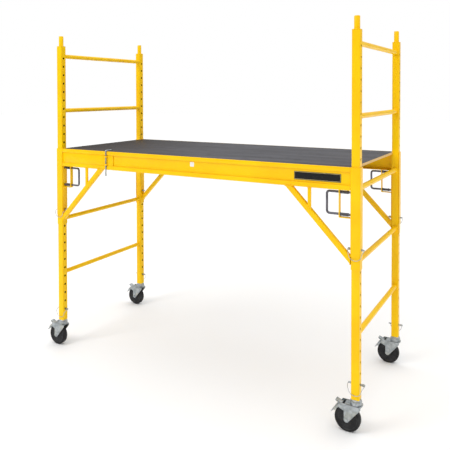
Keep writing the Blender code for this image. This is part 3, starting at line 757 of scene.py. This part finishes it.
def make_latch_plate():
    """Backing plate in the front beam with the two rolled eyes of the latch rod."""
    low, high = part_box("latch_plate")
    x, y, radius = latch_axis()
    bm = bmesh.new()
    web = -(HALF_DEPTH + BEAM_HALF - RECESS + 0.0003)
    face = -(HALF_DEPTH + BEAM_HALF - SHEET - 0.0003)
    add_block(bm, (low.x, face, low.z), (high.x, web, high.z), 0.0007)
    for z in (BEAM_BOTTOM + BAND + 0.004, high.z - 0.012):
        eye = [(radius + 0.0006, z), (radius + 0.0006, z + 0.008), (radius + 0.0031, z + 0.008),
               (radius + 0.0036, z + 0.0074), (radius + 0.0036, z + 0.0006), (radius + 0.0031, z)]
        add_turned(bm, eye, (x, y, 0), "Z", 28)
        add_block(bm, (x - 0.006, y + radius + 0.001, z), (x + 0.006, face + 0.001, z + 0.008),
                  0.0005)
    edge = high.x - 0.0006
    seam = [(edge, face + 0.001, z) for z in (low.z + 0.002, high.z - 0.002)]
    add_weld(bm, seam, 0.0019, closed=False)
    piece("backing_plate", bm, [YELLOW], "platform", ["latch_plate"])


def make_latch_rod():
    """Bent round rod: a hook over the deck's edge and a plain tail under the beam."""
    low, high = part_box("deck_latch")
    x, y, radius = latch_axis()
    top = high.z - radius
    bend = radius + 0.0006
    path = [(x, y, low.z + 0.001), (x, y, top - bend)]
    path += [(x, y + out, up) for out, up in arc((bend, top - bend), bend, 180, 90, 8)[1:]]
    path += [(x, high.y - 0.001, top)]
    bm = bmesh.new()
    sweep(bm, path, radius - 0.0002, 16)
    add_round_end(bm, (x, high.y - 0.001, top), (0, 1, 0), radius - 0.0002)
    add_round_end(bm, (x, y, low.z + 0.001), (0, 0, -1), radius - 0.0002)
    grip = [(radius - 0.0006, low.z + 0.002), (radius + 0.0006, low.z + 0.003),
            (radius + 0.0006, low.z + 0.009), (radius - 0.0006, low.z + 0.010)]
    add_turned(bm, grip, (x, y, 0), "Z", 24)
    piece("latch_rod", bm, [ZINC], "deck_latch", ["deck_latch"])


def make_pull_pin(side, end):
    """U-shaped pull pin with domed tips, a washer on each leg, and its two coil springs."""
    y = upright_at(side, end)[1]
    low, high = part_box(f"c_pin_{side}_{end}")
    inmost = min(abs(low.x - CENTRE_X), abs(high.x - CENTRE_X))
    tips = max(abs(low.x - CENTRE_X), abs(high.x - CENTRE_X))
    r = 0.0055
    bar = inmost + r
    upper, lower = hole_z(C_PIN_HOLES[0]), hole_z(C_PIN_HOLES[1])
    bend = 0.012
    path = [(tips - 0.003, upper), (bar + bend, upper)]
    path += arc((bar + bend, upper - bend), bend, 90, 180, 8)[1:]
    path += arc((bar + bend, lower + bend), bend, 180, 270, 8)
    path += [(tips - 0.003, lower)]
    bm = bmesh.new()
    sweep(bm, [(along_x(end, px), y, z) for px, z in path], r, 16)
    plate = BRACKET_X + BRACKET_THICK
    washer = [(r - 0.0005, 0.0), (0.0074, 0.0), (0.0078, 0.0004), (0.0078, 0.0026),
              (0.0074, 0.003), (r - 0.0005, 0.003)]
    washer_x = along_x(end, STOP_X - (0.003 if ENDS[end] > 0 else 0.0))
    for z in (upper, lower):
        add_round_end(bm, (along_x(end, tips - 0.0035), y, z), (ENDS[end], 0, 0), r)
        add_turned(bm, washer, (washer_x, y, z), "X", 28)
    piece(f"pull_pin_{side}_{end}", bm, [DARK], f"c_pin_{side}_{end}", [f"c_pin_{side}_{end}"])

    start, length, turns, coil = plate + 0.0008, STOP_X - 0.003 - plate - 0.0018, 9, 0.0071
    steps = 22 * turns
    for level, z in (("upper", upper), ("lower", lower)):
        path = []
        for k in range(steps + 1):
            share = k / steps
            # the end turns are closed up, as on a ground compression spring
            travel = min(max((share * turns - 1) / (turns - 2), 0.0), 1.0) * 0.90 + share * 0.10
            angle = 2 * pi * turns * share
            path.append((along_x(end, start + length * travel), y + coil * cos(angle),
                         z + coil * sin(angle)))
        bm = bmesh.new()
        sweep(bm, path, 0.0011, 8)
        spring = piece(f"coil_spring_{level}_{side}_{end}", bm, [DARK], "platform")
        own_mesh(spring)


def make_bail_pin(name, node, body, side, end, head_side, face):
    """Snap pin: a domed head, a grooved shank and a spring-wire bail round the tube."""
    x, y = upright_at(side, end)
    sign = SIDES[side]
    low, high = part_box(node)
    z = high.z - HEAD_RADIUS
    tip, head = 0.0370, 0.0350
    out = face + 0.0035

    def at(across, outward, drop):
        return (x + head_side * across, y + sign * outward, z - drop)

    bm = bmesh.new()
    shank = [at(along, 0, 0) for along in (-tip, -tip + 0.0015, -tip + 0.003, head - 0.004)]
    sweep(bm, shank, [0.0028, 0.0036, 0.0040, 0.0040], 16)
    heights = [HEAD_RADIUS * sin(radians(a)) for a in range(-84, 85, 12)]
    ball = [(sqrt(max(HEAD_RADIUS ** 2 - h * h, 1e-8)), h) for h in heights]
    add_turned(bm, ball, at(head, 0, 0), "X", 24, closed=False)
    collar = [(0.0035, -0.0012), (0.0056, -0.0012), (0.0060, -0.0006), (0.0060, 0.0006),
              (0.0056, 0.0012), (0.0035, 0.0012)]
    add_turned(bm, collar, at(head - 0.0065, 0, 0), "X", 24)
    width = head - 0.006
    depth = (high.z - low.z) - HEAD_RADIUS - WIRE
    route = [at(head + 0.003, 0.0, 0.001), at(head + 0.0035, 0.007, 0.003),
             at(head + 0.001, 0.016, 0.008), at(head - 0.004, out, 0.016)]
    route += [at(width * cos(radians(a)), out, 0.020 + (depth - 0.020) * sin(radians(a)))
              for a in range(20, 180, 20)]
    route += [at(-head + 0.003, out, 0.014), at(-tip + 0.0015, 0.014, 0.006),
              at(-tip + 0.001, 0.004, 0.001), at(-tip + 0.002, 0.0, 0.0)]
    sweep(bm, smooth_path(route, 4), WIRE, 8)
    piece(name, bm, [ZINC], body, [node])


def make_decals():
    """Plain black plate with a pale rule, and a small blank white square, on the front web."""
    web = -(HALF_DEPTH + BEAM_HALF - RECESS)

    def decal(name, start, finish, low, high, materials, inset):
        bm = bmesh.new()
        outline = rounded([(start, low), (finish, low), (finish, high), (start, high)], 0.003, 4)
        add_prism(bm, outline, "Y", web - 0.0006, web + 0.0001)
        bmesh.ops.recalc_face_normals(bm, faces=bm.faces)
        face = min(bm.faces, key=lambda f: f.calc_center_median().y)
        if inset:
            bmesh.ops.inset_region(bm, faces=[face], thickness=inset)
            rule = bmesh.ops.inset_region(bm, faces=[face], thickness=0.0012)
            for ring in rule["faces"]:
                ring.material_index = 1
        piece(name, bm, materials, "platform")

    decal("name_plate_blank", CENTRE_X + 0.614, CENTRE_X + 0.843, 1.130, 1.170,
          [LABEL, LABEL_RULE], 0.0025)
    decal("paper_square_blank", CENTRE_X + 0.027, CENTRE_X + 0.051, 1.153, 1.177, [WHITE], 0)


# ---- casters -----------------------------------------------------------------------------
def make_kingpin(side, end):
    """Post, bearing race with a ball groove, and retaining collar under the tube."""
    x, y = upright_at(side, end)
    low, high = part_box(f"caster_stem_{side}_{end}")
    race, race_top = RACE_RADIUS, RACE_TOP
    base, tube_end = FORK_TOP + 0.0003, TUBE_BOTTOM - 0.0003
    profile = [(0.0001, low.z), (0.012, low.z), (0.012, low.z + 0.0045), (0.007, low.z + 0.0050),
               (0.007, base), (race - 0.0040, base), (race - 0.0012, base + 0.0012),
               (race, base + 0.0035), (race, base + 0.0070), (race - 0.0014, base + 0.0078),
               (race - 0.0014, base + 0.0098), (race, base + 0.0106), (race, race_top - 0.0035),
               (race - 0.0010, race_top - 0.0012), (race - 0.0036, race_top),
               (0.0236, race_top + 0.0004), (0.0226, race_top + 0.0012),
               (0.0222, TUBE_BOTTOM - 0.0010), (0.0215, tube_end), (0.0155, tube_end),
               (0.0155, high.z - 0.004), (0.0115, high.z), (0.0001, high.z)]
    bm = bmesh.new()
    add_turned(bm, profile, (x, y, 0), "Z", 44)
    piece(f"kingpin_{side}_{end}", bm, [ZINC], "end_frames", [f"caster_stem_{side}_{end}"])


def make_yoke(side, end):
    """Pressed fork: a ribbed top plate, two rounded cheeks with horns, and a hex axle bolt."""
    x, y = upright_at(side, end)
    fork = f"caster_fork_{side}_{end}"
    bm = bmesh.new()
    plate = rounded([(0.0262, -FORK_HALF), (0.0262, FORK_HALF), (-0.0480, FORK_HALF),
                     (-0.0480, -FORK_HALF)], 0.009, 6)
    # the kingpin's hole has as many points as the plate, and both start at the same side
    turns = [2 * pi * k / len(plate) for k in range(len(plate))]
    king = [(0.0078 * cos(a), 0.0078 * sin(a)) for a in turns]
    shift = min(range(len(plate)), key=lambda k: abs(atan2(plate[k][1], plate[k][0])))
    king = king if shift == 0 else king[-shift:] + king[:-shift]
    top = add_prism(bm, moved(plate, x, y), "Z", FORK_TOP - FORK_SHEET, FORK_TOP,
                    moved(king, x, y))
    soften(bm, top, 0.0007)
    horn = rounded([(0.0260, 0.1180), (-0.0500, 0.0600), (-0.0500, 0.0980), (-0.0740, 0.1080),
                    (-0.0740, 0.1240), (-0.0680, FORK_TOP), (0.0260, FORK_TOP)], 0.004, 4)
    cheek = horn[-5:] + horn[:5] + arc(AXLE, 0.0120, -34, -180, 14) + horn[10:-5]
    for sign in (-1, 1):
        spread = sorted((y + sign * FORK_HALF, y + sign * (FORK_HALF - FORK_SHEET)))
        soften(bm, add_prism(bm, moved(cheek, x), "Y", *spread), 0.0008)
        outer = y + sign * FORK_HALF
        boss = [(0.0040, 0.0), (0.0125, 0.0), (0.0120, 0.0009), (0.0112, 0.0012), (0.0040, 0.0012)]
        add_turned(bm, [(r, sign * h) for r, h in boss], (x + AXLE[0], outer, AXLE[1]), "Y", 32)
        hexagon = [(x + AXLE[0] + 0.0074 * cos(a), AXLE[1] + 0.0074 * sin(a))
                   for a in [pi / 3 * k + 0.3 for k in range(6)]]
        nut = sorted((outer + sign * 0.0011, outer + sign * 0.0052))
        soften(bm, add_prism(bm, hexagon, "Y", *nut), 0.0007)
    bolt = [(0.0052, -FORK_HALF - 0.001), (0.0052, FORK_HALF + 0.001)]
    add_turned(bm, bolt, (x + AXLE[0], y, AXLE[1]), "Y", 24, closed=False)
    tie = rounded([(-0.0700, 0.1215), (-0.0740, 0.1215), (-0.0740, 0.1240), (-0.0700, 0.1262)],
                  0.0008, 2)
    add_prism(bm, moved(tie, x), "Y", y - FORK_HALF + FORK_SHEET, y + FORK_HALF - FORK_SHEET)
    piece(f"pressed_yoke_{side}_{end}", bm, [ZINC], fork, [fork], 30)


def make_wheel(side, end):
    """Moulded wheel: crowned tread, shoulder, ridged web and hub."""
    x, y = upright_at(side, end)
    r = WHEEL_RADIUS
    hub = [(0.0060, 0.0188), (0.0118, 0.0190), (0.0150, 0.0186), (0.0160, 0.0160)]
    web = [(0.0185, 0.0124), (0.0230, 0.0114), (0.0276, 0.0114), (0.0284, 0.0121),
           (0.0296, 0.0121), (0.0304, 0.0114), (0.0356, 0.0114), (0.0364, 0.0121),
           (0.0376, 0.0121), (0.0384, 0.0114), (0.0440, 0.0116)]
    tread = [(0.0462, 0.0132), (0.0478, 0.0152), (0.0492, 0.0160), (0.0540, 0.0157),
             (r - 0.0028, 0.0140), (r - 0.0009, 0.0112), (r - 0.0002, 0.0070), (r, 0.0025)]
    half = hub + web + tread
    profile = half + [(radius, -along) for radius, along in reversed(half)]
    bm = bmesh.new()
    add_turned(bm, profile, (x + AXLE[0], y, AXLE[1]), "Y", 60,
               index=lambda radius: 0 if radius > RUBBER_FROM else 1)
    wheel = f"wheel_{side}_{end}"
    piece(f"moulded_wheel_{side}_{end}", bm, [TREAD, CORE], wheel, [wheel])


def make_pedal(side, end):
    """Brake rocker: a ribbed tread that follows the wheel, and a short release tab."""
    x, y = upright_at(side, end)
    half = 0.0193
    reach = WHEEL_RADIUS + 0.0110
    thick = 0.0028
    outer, inner = arc(AXLE, reach, 116, 158, 14), arc(AXLE, reach - thick, 158, 116, 14)
    tread = outer + [(-0.1125, 0.0790), (-0.1110, 0.0770)] + inner
    bm = bmesh.new()
    soften(bm, add_prism(bm, moved(tread, x), "Y", y - half, y + half), 0.0008)
    web = arc(AXLE, reach - 0.0006, 119, 156, 14) + arc(AXLE, WHEEL_RADIUS + 0.0005, 154, 124, 14)
    for sign in (-1, 1):
        flange = sorted((y + sign * half, y + sign * (half - 0.002)))
        soften(bm, add_prism(bm, moved(web, x), "Y", *flange), 0.0005)
    for turn in range(126, 154, 7):
        px, pz = arc(AXLE, reach + 0.0003, turn, turn, 1)[0]
        sweep(bm, [(x + px, y - half + 0.004, pz), (x + px, y + half - 0.004, pz)], 0.0011, 8)
    px, pz = PEDAL_PIVOT
    tab = rounded([(px + 0.001, pz), (px + 0.001, pz + 0.004), (-0.0790, 0.1318), (-0.0920, 0.1362),
                   (-0.0935, 0.1330), (-0.0805, 0.1286), (-0.0720, 0.1225)], 0.0012, 3)
    tab_half = 0.0125
    soften(bm, add_prism(bm, moved(tab, x), "Y", y - tab_half, y + tab_half), 0.0008)
    gusset = [(-0.0690, 0.1235), (-0.0795, 0.1312), (-0.0925, 0.1355), (-0.0925, 0.1290),
              (-0.0760, 0.1205)]
    for sign in (-1, 1):
        rib = sorted((y + sign * tab_half, y + sign * (tab_half - 0.002)))
        soften(bm, add_prism(bm, moved(gusset, x), "Y", *rib), 0.0005)
    barrel = [(0.0045, -half), (0.0045, half)]
    add_turned(bm, barrel, (x + px, y, pz), "Y", 24, closed=False)
    pedal = f"brake_pedal_{side}_{end}"
    piece(f"brake_rocker_{side}_{end}", bm, [ZINC], pedal, [pedal], 30)


# ---- studio ------------------------------------------------------------------------------
HORIZON_LIGHT, ZENITH_LIGHT = 0.22, 1.62
# name, place, size, power
AIM = (0.0, 0.0, 0.9)
LAMPS = (("key", (-2.2, -4.0, 5.0), 2.2, 90.0), ("fill", (4.6, -0.8, 2.2), 2.5, 8.0))


def make_studio():
    """Pale floor, soft light from the front left with a weak fill, and a white surround."""
    bm = bmesh.new()
    bmesh.ops.create_grid(bm, x_segments=1, y_segments=1, size=30.0)
    mesh = bpy.data.meshes.new("studio_floor")
    bm.to_mesh(mesh)
    bm.free()
    g = Graph("studio_floor", 0.75)
    mesh.materials.append(g.done(g.mix(g.noise(1.5), (0.92, 0.92, 0.92), (0.94, 0.94, 0.94))))
    floor = bpy.data.objects.new("studio_floor", mesh)
    bpy.context.scene.collection.objects.link(floor)

    world = bpy.data.worlds.new("studio")
    world.use_nodes = True
    tree = world.node_tree
    soft = tree.nodes["Background"]
    soft.inputs["Color"].default_value = (1.0, 1.0, 1.0, 1.0)
    direction = tree.nodes.new("ShaderNodeTexCoord").outputs["Generated"]
    split = tree.nodes.new("ShaderNodeSeparateXYZ")
    climb = tree.nodes.new("ShaderNodeMapRange")
    climb.inputs["To Min"].default_value = HORIZON_LIGHT
    climb.inputs["To Max"].default_value = ZENITH_LIGHT
    tree.links.new(direction, split.inputs[0])
    tree.links.new(split.outputs["Z"], climb.inputs["Value"])
    tree.links.new(climb.outputs["Result"], soft.inputs["Strength"])
    backdrop = tree.nodes.new("ShaderNodeBackground")
    backdrop.inputs["Color"].default_value = (1.0, 1.0, 1.0, 1.0)
    ray = tree.nodes.new("ShaderNodeLightPath")
    either = tree.nodes.new("ShaderNodeMixShader")
    tree.links.new(ray.outputs["Is Camera Ray"], either.inputs[0])
    tree.links.new(soft.outputs[0], either.inputs[1])
    tree.links.new(backdrop.outputs[0], either.inputs[2])
    tree.links.new(either.outputs[0], tree.nodes["World Output"].inputs["Surface"])
    bpy.context.scene.world = world

    for name, place, size, power in LAMPS:
        lamp = bpy.data.lights.new(name, "AREA")
        lamp.size = size
        lamp.energy = power
        obj = bpy.data.objects.new(name, lamp)
        obj.location = place
        toward = Vector(AIM) - Vector(place)
        obj.rotation_euler = toward.to_track_quat("-Z", "Y").to_euler()
        bpy.context.scene.collection.objects.link(obj)


CAMERA_PLACE = (1.6863, -2.8602, 1.5387)
CAMERA_YAW, CAMERA_PITCH, CAMERA_ROLL = 29.743, 1.142, -0.105
CAMERA_LENS, CAMERA_SHIFT = 45.15, -0.2689


def make_camera():
    """Camera level with the upper rungs, right of the front, with its frame shifted down."""
    yaw, pitch, roll = (radians(a) for a in (CAMERA_YAW, CAMERA_PITCH, CAMERA_ROLL))
    forward = Vector((-sin(yaw) * cos(pitch), cos(yaw) * cos(pitch), -sin(pitch)))
    level = Vector((cos(yaw), sin(yaw), 0.0))
    up = level.cross(forward)
    right = level * cos(roll) + up * sin(roll)
    up = up * cos(roll) - level * sin(roll)
    data = bpy.data.cameras.new("camera")
    data.sensor_fit = "HORIZONTAL"
    data.sensor_width = 36.0
    data.lens = CAMERA_LENS
    data.shift_y = CAMERA_SHIFT
    data.clip_end = 100.0
    camera = bpy.data.objects.new("camera", data)
    turn = Matrix((right, up, -forward)).transposed().to_4x4()
    camera.matrix_world = Matrix.Translation(CAMERA_PLACE) @ turn
    bpy.context.scene.collection.objects.link(camera)
    bpy.context.scene.camera = camera
    bpy.context.scene.view_settings.view_transform = "Standard"


# ---- making ------------------------------------------------------------------------------
make_camera()
make_studio()
for side, end in CORNERS:
    make_upright(side, end)
    make_coupling_pin(side, end)
    make_sleeve(side, end)
    make_brace(side, end)
    make_pull_pin(side, end)
    make_bail_pin(f"truss_bail_{side}_{end}", f"truss_snap_pin_{side}_{end}", "platform",
                  side, end, -ENDS[end], SLEEVE_HALF)
    make_bail_pin(f"caster_bail_{side}_{end}", f"caster_snap_pin_{side}_{end}", "end_frames",
                  side, end, 1, TUBE / 2)
    make_kingpin(side, end)
    make_yoke(side, end)
    make_wheel(side, end)
    make_pedal(side, end)
for end in ENDS:
    for index in range(1, RUNG_COUNT + 1):
        make_rung(end, index)
for side in SIDES:
    make_beam(side)
make_deck()
make_latch_plate()
make_latch_rod()
make_decals()
